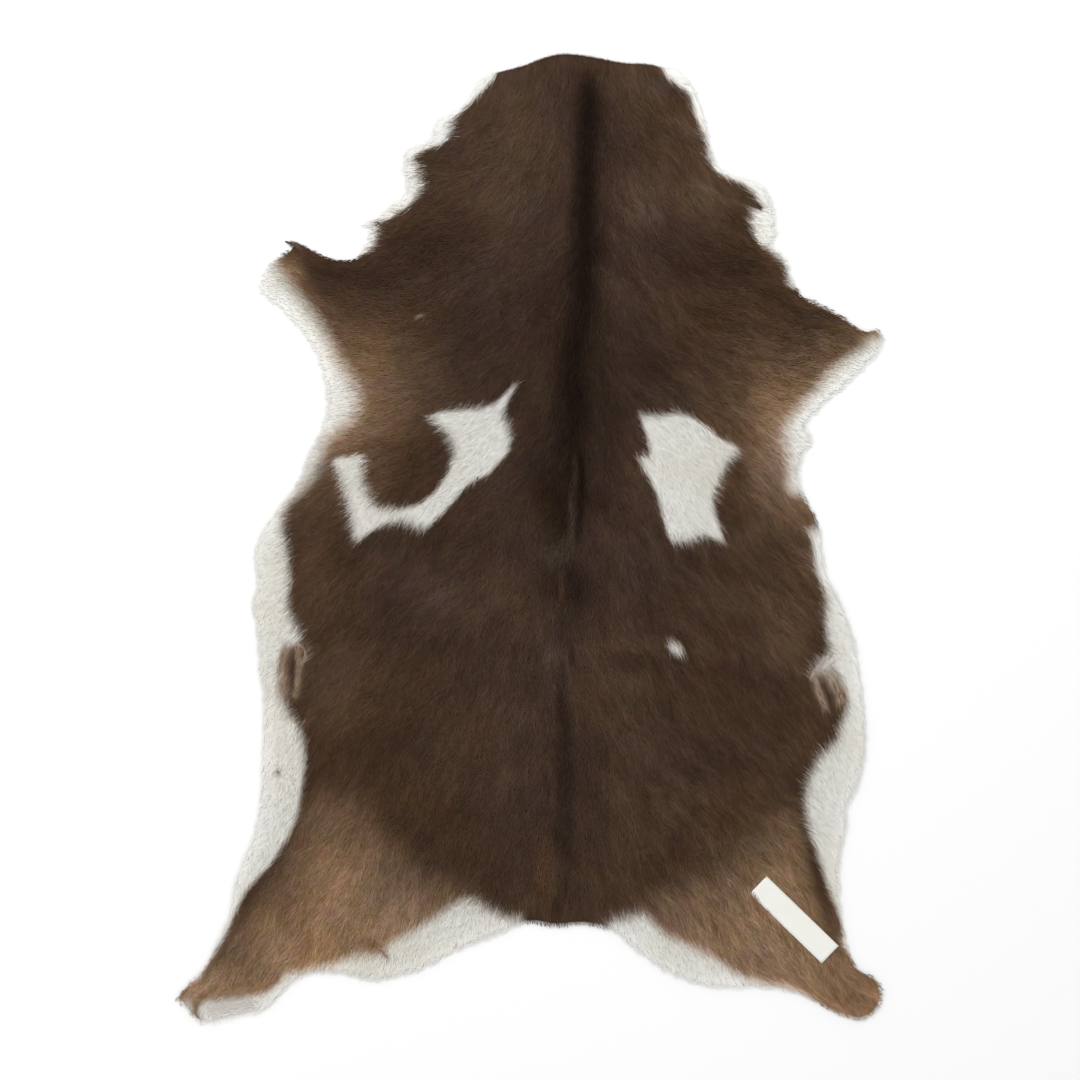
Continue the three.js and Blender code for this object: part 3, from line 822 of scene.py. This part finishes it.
def direction_at(places):
    """Which way the hair lies at these places, as unit steps in x and y."""
    x, y = places.T / MM
    middle, left, right, soon = columns_at(BACK, y, "middle", "left", "right", "soon")
    out = x - middle
    outwards = np.where(out < 0, left, right) * (1 - np.exp(-np.abs(out) / soon))
    outwards = outwards + noise_sum(LIE_WANDER, places)
    outwards = outwards + noise_sum(NECK_WANDER, places) * ease((y - NECK_START) / NECK_FADE)
    outwards = outwards + noise_sum(FEET_WANDER, places) * (1 - length_share(places))
    angle = np.radians(outwards)
    lie = np.stack([np.sign(out) * np.sin(angle), -np.cos(angle)], axis=1)
    for turn in TURNS:
        share = (turn.share * bell(places, turn, turn.reach * MM))[:, None]
        towards = [math.cos(math.radians(turn.direction)), math.sin(math.radians(turn.direction))]
        lie = lie * (1 - share) + share * towards
    for stroke in STROKES:
        share, towards = stroke_share(stroke, places)
        lie = lie * (1 - share[:, None]) + share[:, None] * towards
    return unit(lie)


def length_share(places):
    """How long the hair is at these places, beside the body's."""
    share = np.ones(len(places))
    for hoof in HOOVES:
        share -= HOOF_SHORTENING * bell(places, hoof, HOOF_REACH)
    return share


def curl_share(places):
    """How long the hair is in the narrow strokes, beside the hair round them."""
    return 1 - (1 - CURL_LENGTH) * np.max([stroke_share(stroke, places)[0] for stroke in STROKES], axis=0)


# Meshes

def mesh_from(name, corners, faces):
    """A new piece from arrays of corners and triangles."""
    mesh = bpy.data.meshes.new(name)
    mesh.vertices.add(len(corners))
    mesh.vertices.foreach_set("co", np.asarray(corners, np.float32).ravel())
    mesh.loops.add(faces.size)
    mesh.loops.foreach_set("vertex_index", faces.astype(np.int32).ravel())
    mesh.polygons.add(len(faces))
    mesh.polygons.foreach_set("loop_start", np.arange(0, faces.size, 3, dtype=np.int32))
    mesh.update(calc_edges=True)
    mesh.polygons.foreach_set("use_smooth", np.full(len(faces), True))
    piece = bpy.data.objects.new(name, mesh)
    bpy.context.scene.collection.objects.link(piece)
    return piece


def add_colours(piece, name, values):
    """A four-part value at each corner, which the materials read."""
    layer = piece.data.color_attributes.new(name, "FLOAT_COLOR", "POINT")
    full = np.ones((len(values), 4), np.float32)
    full[:, : values.shape[1]] = values
    layer.data.foreach_set("color", full.ravel())


def triangulated(rim, inner):
    """Triangles between a rim and the places inside it."""
    ring = [(index, (index + 1) % len(rim)) for index in range(len(rim))]
    flat = [Vector(place) for place in np.vstack([rim, inner])]
    places, _, faces, *_ = delaunay_2d_cdt(flat, ring, [], 1, 0.01 * MM)
    places = np.array([tuple(place) for place in places])
    faces = np.array(list(faces))
    used, faces = np.unique(faces, return_inverse=True)
    return places[used], faces.reshape(-1, 3)


def outer_edges(faces):
    """The edges that only one triangle has, each in that triangle's own direction."""
    outer = {}
    for face in faces:
        for one, other in zip(face, np.roll(face, -1)):
            if (other, one) in outer:
                del outer[(other, one)]
            else:
                outer[(one, other)] = True
    return np.array(list(outer))


def closed_sheet(name, places, low, high, faces):
    """A closed sheet over these places, from its underside's heights to its top's."""
    count = len(places)
    corners = np.vstack([np.column_stack([places, low]), np.column_stack([places, high])])
    one, other = outer_edges(faces).T
    walls = np.vstack([
        np.stack([one, other, one + count], axis=1),
        np.stack([other, other + count, one + count], axis=1),
    ])
    return mesh_from(name, corners, np.vstack([faces + count, faces[:, ::-1], walls]))


def leather_places():
    """The leather's rim, a little inside the reach of the hair, and an even spread inside it."""
    along = np.roll(leather_rim, -1, axis=0) - np.roll(leather_rim, 1, axis=0)
    inward = unit(left_of(along))
    if np.median(read(reach, leather_rim + inward * GRID) - read(reach, leather_rim)) < 0:
        inward = -inward
    rim = leather_rim + inward * LEATHER_INSET
    rim = rim[read(reach, rim) > LEAST_INSET * LEATHER_INSET]
    inner = staggered(SKIN_STEP)
    inner = inner[read(reach, inner) > LEATHER_INSET + LEAST_INSET * SKIN_STEP]
    return rim, inner


def hide_piece():
    """The leather: a closed sheet with a hairy upper side and a flat flesh side."""
    places, faces = triangulated(*leather_places())
    count = len(places)
    low = lift(places)
    skin = low + LEATHER
    underfur = UNDERFUR * (read(surface, places) - skin) * ease(read(reach, places) / UNDERFUR_REACH)
    piece = closed_sheet("hide_leather", places, low, skin + underfur, faces)
    add_colours(piece, "markings", np.tile(colours_at(places, np.zeros(count)), (2, 1)))
    tone = np.full(2 * count, 0.5)
    warmth = np.tile(warmth_at(places), 2)
    # 0.3 along the hair, so the under-fur takes the painted shade of the hairs' lower parts.
    add_colours(piece, "strand", np.stack([tone, np.full(2 * count, 0.3), warmth], axis=1))
    flesh = np.concatenate([np.ones(count), np.zeros(count)])
    add_colours(piece, "flesh", flesh[:, None])
    return piece


def staggered(step):
    """Even places over the whole box, each row half a step along from the last."""
    x, y = np.meshgrid(
        np.arange(cad_low.x, cad_high.x, step), np.arange(cad_low.y, cad_high.y, step * math.sqrt(0.75))
    )
    x[1::2] += step / 2
    return np.stack([x, y], axis=-1).reshape(-1, 2)


def turned(steps, angles):
    """Steps in x and y, turned anticlockwise by these angles."""
    cos, sin = np.cos(angles), np.sin(angles)
    x, y = steps.T
    return np.stack([x * cos - y * sin, x * sin + y * cos], axis=1)


def streaks(places, lie, seed):
    """Noise drawn out along the hair, from about -1 to 1."""
    steps = np.linspace(-0.5, 0.5, STREAK_SAMPLES) * STREAK_LENGTH
    total = sum(noise(places + lie * step, STREAK_WIDTH, seed) for step in steps)
    return total / math.sqrt(STREAK_SAMPLES)


def hair_lines():
    """The root, the direction and the length of every hair."""
    places = staggered(HAIR_STEP)
    places = places + random.uniform(-0.5, 0.5, places.shape) * HAIR_STEP
    places = places[read(reach, places) > 0]
    count = len(places)
    lie = turned(direction_at(places), np.radians(random.normal(0, HAIR_STRAY, count)))
    length = HAIR_LENGTH * length_share(places) * curl_share(places)
    length = length * random.uniform(*LENGTH_SCATTER, count)
    depth = read(reach, places)
    ahead = 0.5 * length
    behind = 0.5 * length
    rise = depth - read(reach, places + lie * ahead[:, None])
    fall = depth - read(reach, places - lie * behind[:, None])
    overhang = OVERHANG * (1 + noise_sum(OVERHANG_NOISE, places))
    overhang = overhang + random.uniform(*OVERHANG_SCATTER, count) * MM
    ahead = ahead * np.clip((depth + overhang) / np.maximum(rise, 0.001 * MM), 0.1, 1)
    behind = behind * np.clip((depth - ROOT_INSET) / np.maximum(fall, 0.001 * MM), 0, 1)
    roots = places - lie * behind[:, None]
    return roots, lie, ahead + behind


def hair_corners(roots, lie, length):
    """Each hair's root, left side, right side and tip, rising from the skin to the coat's surface."""
    count = len(roots)
    bellies = roots + lie * (HAIR_BELLY * length)[:, None]
    tips = roots + lie * length[:, None]
    heights = []
    for places, share in ((roots, ROOT_HEIGHT), (bellies, BELLY_HEIGHT), (tips, TIP_HEIGHT)):
        skin = lift(places) + LEATHER
        full = read(surface, places) - skin
        heights.append(skin + full * random.uniform(*share, count) + rise_at(places))
    side = left_of(lie)
    half = HAIR_WIDTH / 2 * random.uniform(*WIDTH_SCATTER, count)
    tilt = half * random.uniform(-HAIR_TILT, HAIR_TILT, count)
    root, belly, tip = heights
    root = np.maximum(root, tip - HAIR_SLOPE * length)
    belly = np.maximum(belly, root + HAIR_BELLY * (tip - root) + HAIR_ARCH)
    return np.stack(
        [
            np.column_stack([roots, root]),
            np.column_stack([bellies + side * half[:, None], belly + tilt]),
            np.column_stack([bellies - side * half[:, None], belly - tilt]),
            np.column_stack([tips, tip]),
        ],
        axis=1,
    )


def hair_normals(lie):
    """Soft shading for each hair's four corners: round across it, and nearly flat along it."""
    count = len(lie)
    up = np.tile([0.0, 0.0, 1.0], (count, 1))
    ahead = np.column_stack([lie, np.zeros(count)])
    side = np.column_stack([left_of(lie), np.zeros(count)])
    ends = [-HAIR_BOW * ahead, HAIR_ROUND * side, -HAIR_ROUND * side, HAIR_BOW * ahead]
    return unit(np.stack([up + end for end in ends], axis=1))


def tones_of(places, lie, white, tan):
    """How light each hair is within its own colour, from 0 to 1."""
    right = ease((places[:, 0] - RIGHT_SIDE) / RIGHT_FADE)
    spreads = (FINE_TONES, STREAK_TONES, PATCH_TONES)
    fine, streaky, patchy = (spread.left + spread.more * right for spread in spreads)
    fine = (fine + TAN_TONES * tan) * random.normal(0, 1, len(places))
    brown = 0.5 + fine + streaky * streaks(places, lie, BROWN_SEED) + patchy * noise_sum(PATCHES, places)
    # Whiter along the rim, partly painted light through the thin hair at the edge.
    near_rim = 1 - ease(read(reach, places) / PALE_RIM_REACH)
    pale = PALE_TONE + PALE_FINE * fine + PALE_STREAK * streaks(places, lie, PALE_SEED)
    pale = pale + PALE_RIM * near_rim
    # Whiter at the bright spots, partly painted light through thin hair.
    for spot in BRIGHT:
        pale += spot.amount * bell(places, spot, spot.reach * MM)
    return np.clip(brown * (1 - white) + pale * white, 0, 1)


def coat_pieces():
    """The short coat, as several layers of hairs that each cover the whole hide."""
    roots, lie, length = hair_lines()
    count = len(roots)
    corners = hair_corners(roots, lie, length)
    normals = hair_normals(lie)
    shift = SEEN_SCATTER * random.normal(0, 1, count)
    ragged = random.normal(0, RAGGED_SCATTER, count)
    seen = [roots + lie * (share * length + shift)[:, None] for share in HAIR_SEEN]
    markings = np.stack([colours_at(places, ragged) for places in seen], axis=1)
    seen = seen[1]
    tone = tones_of(seen, lie, *markings[:, 1, :2].T)
    warmth = np.clip(warmth_at(seen) + 0.08 * random.normal(0, 1, count), 0, 1)
    order = np.lexsort((roots[:, 0], np.floor(roots[:, 1] / BAKE_ROW)))
    layer = random.integers(0, HAIR_PIECES, count)
    pieces = []
    for number in range(HAIR_PIECES):
        mine = order[layer[order] == number]
        name = f"coat_{number + 1}"
        looks = np.stack([tone[mine], warmth[mine]], axis=1)
        pieces.append(hair_piece(name, corners[mine], normals[mine], markings[mine], looks))
    return pieces


def bake_places(count, cells, shape):
    """A cell of the picture for each hair, row by row, so that neighbours stay neighbours."""
    index = np.arange(count)
    corner = np.stack([index % cells, index // cells], axis=1) / cells
    return corner[:, None, :] + shape[None, :, :] / cells


def add_bake_map(piece, cells, faces):
    """The places on the baked picture of each face's corners."""
    layer = piece.data.uv_layers.new(name="OFBake")
    layer.data.foreach_set("uv", cells.reshape(-1, 2)[faces.ravel()].astype(np.float32).ravel())


def hair_piece(name, corners, normals, markings, looks):
    """Closed four-sided hairs from their root, two sides and tip. looks are their tone and warmth."""
    count = len(corners)
    kite = np.array([(0, 2, 1), (1, 2, 3), (0, 1, 3), (0, 3, 2)])
    faces = (kite[None, :, :] + 4 * np.arange(count)[:, None, None]).reshape(-1, 3)
    piece = mesh_from(name, corners.reshape(-1, 3), faces)
    shape = np.array([(0.5, 0.02), (0.02, 0.4), (0.98, 0.4), (0.5, 0.98)])
    add_bake_map(piece, bake_places(count, BAKE_CELLS, shape), faces)
    add_colours(piece, "markings", markings[:, [0, 1, 1, 2]].reshape(-1, 3))
    tone, warmth = np.repeat(looks, 4, axis=0).T
    along = np.tile([0, HAIR_BELLY, HAIR_BELLY, 1], count)
    add_colours(piece, "strand", np.stack([tone, along, warmth], axis=1))
    piece.data.normals_split_custom_set_from_vertices(normals.reshape(-1, 3).tolist())
    return piece


def places_on(path, shares):
    """Places at these shares of the way along a smooth open path."""
    path = np.array(path) * MM
    run = np.concatenate([[0], np.cumsum(np.linalg.norm(np.diff(path, axis=0), axis=1))])
    ways = [run[-1] * np.clip(shares + shift, 0, 1) for shift in (-0.08, 0, 0.08)]
    return sum(np.stack([np.interp(way, run, path[:, k]) for k in (0, 1)], axis=-1) for way in ways) / 3


def lock_rings(lock):
    """Three corners round each hair of a lock at every ring, and their normals."""
    count = lock.hairs
    rings = np.linspace(0, 1, LOCK_RINGS)
    begin = random.uniform(*LOCK_BEGIN, count)
    end = random.uniform(*LOCK_END, count)
    shares = begin[:, None] + (end - begin)[:, None] * rings
    middle = places_on(lock.path, shares)
    ahead = places_on(lock.path, shares + LOCK_LOOK) - places_on(lock.path, shares - LOCK_LOOK)
    side = left_of(unit(ahead))
    spread = random.uniform(-1, 1, count)
    narrowing = 1 + (lock.fan - 1) * shares
    stray = random.normal(0, LOCK_STRAY, count)[:, None] * rings**2
    places = middle + side * ((spread[:, None] * narrowing + stray) * lock.width / 2 * MM)[:, :, None]
    flat = places.reshape(-1, 2)
    top = np.where(read(reach, flat) > 0, read(surface, flat), RIM_HEIGHT).reshape(count, LOCK_RINGS)
    rise = LOCK_RISE * np.sqrt(np.clip(1 - spread**2, 0, 1))[:, None]
    rise = rise * np.sin(math.pi * (0.1 + 0.8 * shares))
    height = top + rise + random.uniform(-LOCK_UNEVEN, LOCK_UNEVEN, count)[:, None] * MM
    height = height - LOCK_DROP * ease(1 - 4 * rings)
    thick = LOCK_THICK * (0.25 + 0.75 * np.sin(math.pi * (0.12 + 0.86 * rings)))
    corners = np.empty((count, LOCK_RINGS, 3, 3))
    normals = np.empty_like(corners)
    for index, (across, up) in enumerate(((-1, -0.5), (0, 0.9), (1, -0.5))):
        corners[:, :, index, :2] = places + side * (across * thick)[None, :, None]
        corners[:, :, index, 2] = height + up * thick
        normals[:, :, index, :2] = side * across * 0.5
        normals[:, :, index, 2] = 1
    return corners, unit(normals)


def locks_piece():
    """All the thin locks, as one piece of closed three-sided hairs."""
    built = [lock_rings(lock) for lock in LOCKS]
    corners = np.vstack([corners for corners, _ in built])
    normals = np.vstack([normals for _, normals in built])
    count = len(corners)
    around = [(one, (one + 1) % 3) for one in range(3)]
    tube = [(0, 2, 1)]
    for ring in range(LOCK_RINGS - 1):
        for one, other in around:
            low, high = 3 * ring, 3 * ring + 3
            tube += [(low + one, low + other, high + other), (low + one, high + other, high + one)]
    last = 3 * (LOCK_RINGS - 1)
    tube.append((last, last + 1, last + 2))
    size = 3 * LOCK_RINGS
    faces = (np.array(tube)[None, :, ::-1] + size * np.arange(count)[:, None, None]).reshape(-1, 3)
    piece = mesh_from("coat_locks", corners.reshape(-1, 3), faces)
    rings = np.repeat(np.linspace(0, 1, LOCK_RINGS), 3)
    shape = np.column_stack([np.tile([0.05, 0.5, 0.95], LOCK_RINGS), 0.05 + 0.9 * rings])
    add_bake_map(piece, bake_places(count, LOCK_CELLS, shape), faces)
    hairs = [lock.hairs for lock in LOCKS]
    shares = np.repeat([(0, lock.tan, lock.dark) for lock in LOCKS], hairs, axis=0)
    shares = np.clip(shares * (1 + 0.25 * random.normal(0, 1, (count, 1))), 0, 1)
    add_colours(piece, "markings", np.repeat(shares, size, axis=0))
    tone = np.clip(0.5 + 0.15 * random.normal(0, 1, count), 0, 1)
    warmth = np.repeat([lock.warmth for lock in LOCKS], hairs)
    along = np.tile(0.3 + 0.7 * rings, count)
    add_colours(piece, "strand", np.stack([np.repeat(tone, size), along, np.repeat(warmth, size)], axis=1))
    piece.data.normals_split_custom_set_from_vertices(normals.reshape(-1, 3).tolist())
    return piece


def label_piece():
    """The label: a thin woven strip that bends a little and curls up at its ends."""
    low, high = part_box("label")
    centre = (low + high) / 2
    along, across = np.meshgrid(
        np.linspace(-0.5, 0.5, LABEL_COLUMNS + 1) * LABEL_LENGTH,
        np.linspace(-0.5, 0.5, LABEL_ROWS + 1) * LABEL_WIDTH,
    )
    steps = np.stack([along.ravel(), across.ravel()], axis=1)
    places = turned(steps, LABEL_TURN) + [centre.x, centre.y]
    ends = np.abs(steps[:, 0]) / (LABEL_LENGTH / 2)
    bend = noise_sum(LABEL_BEND, places) * MM + LABEL_CURL * ends**6
    under = high.z - LABEL_THICKNESS + LABEL_PROUD + bend
    corner = np.arange(LABEL_ROWS * (LABEL_COLUMNS + 1)).reshape(LABEL_ROWS, -1)[:, :-1].ravel()
    above = corner + LABEL_COLUMNS + 1
    faces = np.vstack([
        np.stack([corner, corner + 1, above + 1], axis=1),
        np.stack([corner, above + 1, above], axis=1),
    ])
    return closed_sheet("label_strip", places, under, under + LABEL_THICKNESS, faces)


# Materials

def new_material(name):
    """A material, its node tree, and its shader's inputs."""
    material = bpy.data.materials.new(name)
    material.use_nodes = True
    return material, material.node_tree, material.node_tree.nodes["Principled BSDF"].inputs


def add_node(tree, kind, **settings):
    node = tree.nodes.new(kind)
    for name, value in settings.items():
        setattr(node, name, value)
    return node


def ramp(tree, factor, colours):
    """A colour between these, evenly spaced, by the factor."""
    node = add_node(tree, "ShaderNodeValToRGB")
    elements = node.color_ramp.elements
    while len(elements) < len(colours):
        elements.new(0.5)
    for index, colour in enumerate(colours):
        elements[index].position = index / (len(colours) - 1)
        elements[index].color = (*colour, 1)
    tree.links.new(factor, node.inputs["Fac"])
    return node.outputs["Color"]


def mix(tree, factor, one, other, blend="MIX"):
    """One colour mixed with another. factor is a number or another node's output."""
    node = add_node(tree, "ShaderNodeMix", data_type="RGBA", blend_type=blend)
    for socket, value in zip((node.inputs[0], node.inputs[6], node.inputs[7]), (factor, one, other)):
        if isinstance(value, bpy.types.NodeSocket):
            tree.links.new(value, socket)
        else:
            socket.default_value = value
    return node.outputs[2]


def times(tree, one, other):
    """One colour multiplied by another."""
    return mix(tree, 1.0, one, other, "MULTIPLY")


def greys(*levels):
    """Greys of these levels."""
    return [(level, level, level) for level in levels]


def noise_output(tree, size, detail=3):
    """Noise of about this size, from 0 to 1, fixed to the object."""
    place = add_node(tree, "ShaderNodeTexCoord")
    node = add_node(tree, "ShaderNodeTexNoise")
    node.inputs["Scale"].default_value = 1 / size
    node.inputs["Detail"].default_value = detail
    tree.links.new(place.outputs["Object"], node.inputs["Vector"])
    return node.outputs["Fac"]


def channels(tree, name):
    """The parts of a colour attribute."""
    attribute = add_node(tree, "ShaderNodeAttribute", attribute_name=name)
    parts = add_node(tree, "ShaderNodeSeparateColor")
    tree.links.new(attribute.outputs["Color"], parts.inputs["Color"])
    return parts.outputs["Red"], parts.outputs["Green"], parts.outputs["Blue"]


def add_bump(tree, height, strength, distance):
    bump = add_node(tree, "ShaderNodeBump")
    bump.inputs["Strength"].default_value = strength
    bump.inputs["Distance"].default_value = distance
    tree.links.new(height, bump.inputs["Height"])
    tree.links.new(bump.outputs["Normal"], tree.nodes["Principled BSDF"].inputs["Normal"])


def hair_colour(tree):
    """The coat's colour from its markings and tone, with painted shade by the place along the hair."""
    white, tan, dark = channels(tree, "markings")
    tone, along, warmth = channels(tree, "strand")
    colour = mix(tree, tan, ramp(tree, tone, BROWN), ramp(tree, tone, TAN_BROWN))
    colour = mix(tree, dark, colour, ramp(tree, tone, DARK_BROWN))
    tint = ramp(tree, warmth, [(0.93, 0.995, 1.18), (1.0, 1.0, 1.0), (1.07, 0.98, 0.85)])
    colour = times(tree, colour, tint)
    olive = ramp(tree, noise_output(tree, 14 * MM, 4), [(1.17, 0.975, 1.15), (0.83, 1.025, 0.83)])
    colour = times(tree, colour, olive)
    ochre = ramp(tree, noise_output(tree, 9 * MM, 2), [(1.0, 1.0, 1.32), (1.0, 1.0, 0.68)])
    colour = times(tree, colour, ochre)
    # Painted shade: brown and tan hairs darker towards the root, deep in the coat.
    painted_root_shade = ramp(tree, along, [(0.78, 0.76, 0.74), (0.96, 0.96, 0.96), (1.05, 1.05, 1.05)])
    colour = times(tree, colour, painted_root_shade)
    # Painted shade: white hairs a little darker towards the root too.
    painted_pale_root_shade = ramp(tree, along, [(0.95, 0.94, 0.92), (1.0, 1.0, 1.0)])
    pale = times(tree, ramp(tree, tone, PALE), painted_pale_root_shade)
    cream = ramp(tree, warmth, [(1.0, 1.0, 1.0), (1.0, 1.0, 1.0), (0.95, 0.94, 0.88)])
    pale = times(tree, pale, cream)
    colour = mix(tree, white, colour, pale)
    grain = ramp(tree, noise_output(tree, 3 * MM), greys(0.94, 1.06))
    return times(tree, colour, grain)


def coat_material():
    material, tree, inputs = new_material("goat_hair")
    tree.links.new(hair_colour(tree), inputs["Base Color"])
    rough = ramp(tree, noise_output(tree, 5 * MM), greys(0.55, 0.75))
    tree.links.new(rough, inputs["Roughness"])
    inputs["Specular IOR Level"].default_value = 0.06
    add_bump(tree, noise_output(tree, 0.5 * MM), 0.15, 0.1 * MM)
    return material


def leather_material():
    """Under-fur on the hair side, darkened as painted shade, and pale suede on the flesh side."""
    material, tree, inputs = new_material("hide_leather")
    flesh, _, _ = channels(tree, "flesh")
    # Painted shade: the under-fur a little darker still, as it lies under the hairs.
    fur = times(tree, hair_colour(tree), (0.9, 0.89, 0.88, 1))
    suede = ramp(tree, noise_output(tree, 45 * MM, 6), [(0.50, 0.40, 0.29), (0.66, 0.56, 0.44)])
    nap = ramp(tree, noise_output(tree, 1.5 * MM, 5), greys(0.86, 1.1))
    suede = times(tree, suede, nap)
    tree.links.new(mix(tree, flesh, fur, suede), inputs["Base Color"])
    inputs["Roughness"].default_value = 0.9
    inputs["Specular IOR Level"].default_value = 0.15
    add_bump(tree, noise_output(tree, 1.2 * MM, 6), 0.4, 0.3 * MM)
    return material


def label_material():
    """Bare woven tape, finely ribbed both ways."""
    material, tree, inputs = new_material("label_tape")
    place = add_node(tree, "ShaderNodeTexCoord")
    turn = add_node(tree, "ShaderNodeMapping")
    turn.inputs["Rotation"].default_value = (0, 0, -LABEL_TURN)
    tree.links.new(place.outputs["Object"], turn.inputs["Vector"])
    heights = []
    for direction in ("X", "Y"):
        wave = add_node(tree, "ShaderNodeTexWave", bands_direction=direction)
        wave.inputs["Scale"].default_value = 1 / (2.2 * MM)
        wave.inputs["Distortion"].default_value = 0.4
        tree.links.new(turn.outputs["Vector"], wave.inputs["Vector"])
        heights.append(wave.outputs["Color"])
    weave = mix(tree, 0.5, heights[0], heights[1])
    colour = ramp(tree, weave, [(0.70, 0.70, 0.66), (0.80, 0.80, 0.76)])
    soil = ramp(tree, noise_output(tree, 14 * MM, 4), [(0.95, 0.94, 0.92), (1.02, 1.02, 1.02)])
    tree.links.new(times(tree, colour, soil), inputs["Base Color"])
    inputs["Roughness"].default_value = 0.6
    add_bump(tree, weave, 0.25, 0.15 * MM)
    return material


def floor_material():
    material, tree, inputs = new_material("studio_floor")
    colour = ramp(tree, noise_output(tree, 0.8, 2), greys(0.83, 0.85))
    tree.links.new(colour, inputs["Base Color"])
    inputs["Roughness"].default_value = 0.9
    inputs["Specular IOR Level"].default_value = 0.1
    return material


# The scene

def add_camera():
    camera = bpy.data.cameras.new("photo_camera")
    camera.lens = LENS
    camera.sensor_width = SENSOR
    holder = bpy.data.objects.new("photo_camera", camera)
    holder.location = PHOTO_CENTRE + Vector((0, 0, PHOTO_WIDTH * LENS / SENSOR))
    bpy.context.scene.collection.objects.link(holder)
    bpy.context.scene.camera = holder


def add_lamp():
    lamp = bpy.data.lights.new("soft_light", "AREA")
    lamp.shape = "DISK"
    lamp.size = LAMP_SIZE
    lamp.energy = LAMP_POWER
    holder = bpy.data.objects.new("soft_light", lamp)
    holder.location = LAMP_PLACE
    holder.rotation_euler = (-LAMP_PLACE).to_track_quat("-Z", "Y").to_euler()
    bpy.context.scene.collection.objects.link(holder)


def add_studio():
    bpy.ops.mesh.primitive_plane_add(size=FLOOR_SIZE, location=(0, 0, 0))
    floor = bpy.context.object
    floor.name = "studio_floor"
    floor.data.materials.append(floor_material())
    world = bpy.data.worlds.new("studio_light")
    world.use_nodes = True
    sky = world.node_tree.nodes["Background"].inputs
    sky["Color"].default_value = (1, 1, 1, 1)
    sky["Strength"].default_value = SKY_STRENGTH
    bpy.context.scene.world = world
    add_lamp()
    bpy.context.scene.view_settings.view_transform = "Standard"


add_camera()
add_studio()

hide = hide_piece()
coat = [*coat_pieces(), locks_piece()]
label = label_piece()

hide.data.materials.append(leather_material())
hair = coat_material()
for piece in coat:
    piece.data.materials.append(hair)
label.data.materials.append(label_material())

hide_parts("goatskin")
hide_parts("label")
for piece in [hide, *coat]:
    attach(piece, "root")
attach(label, "root")
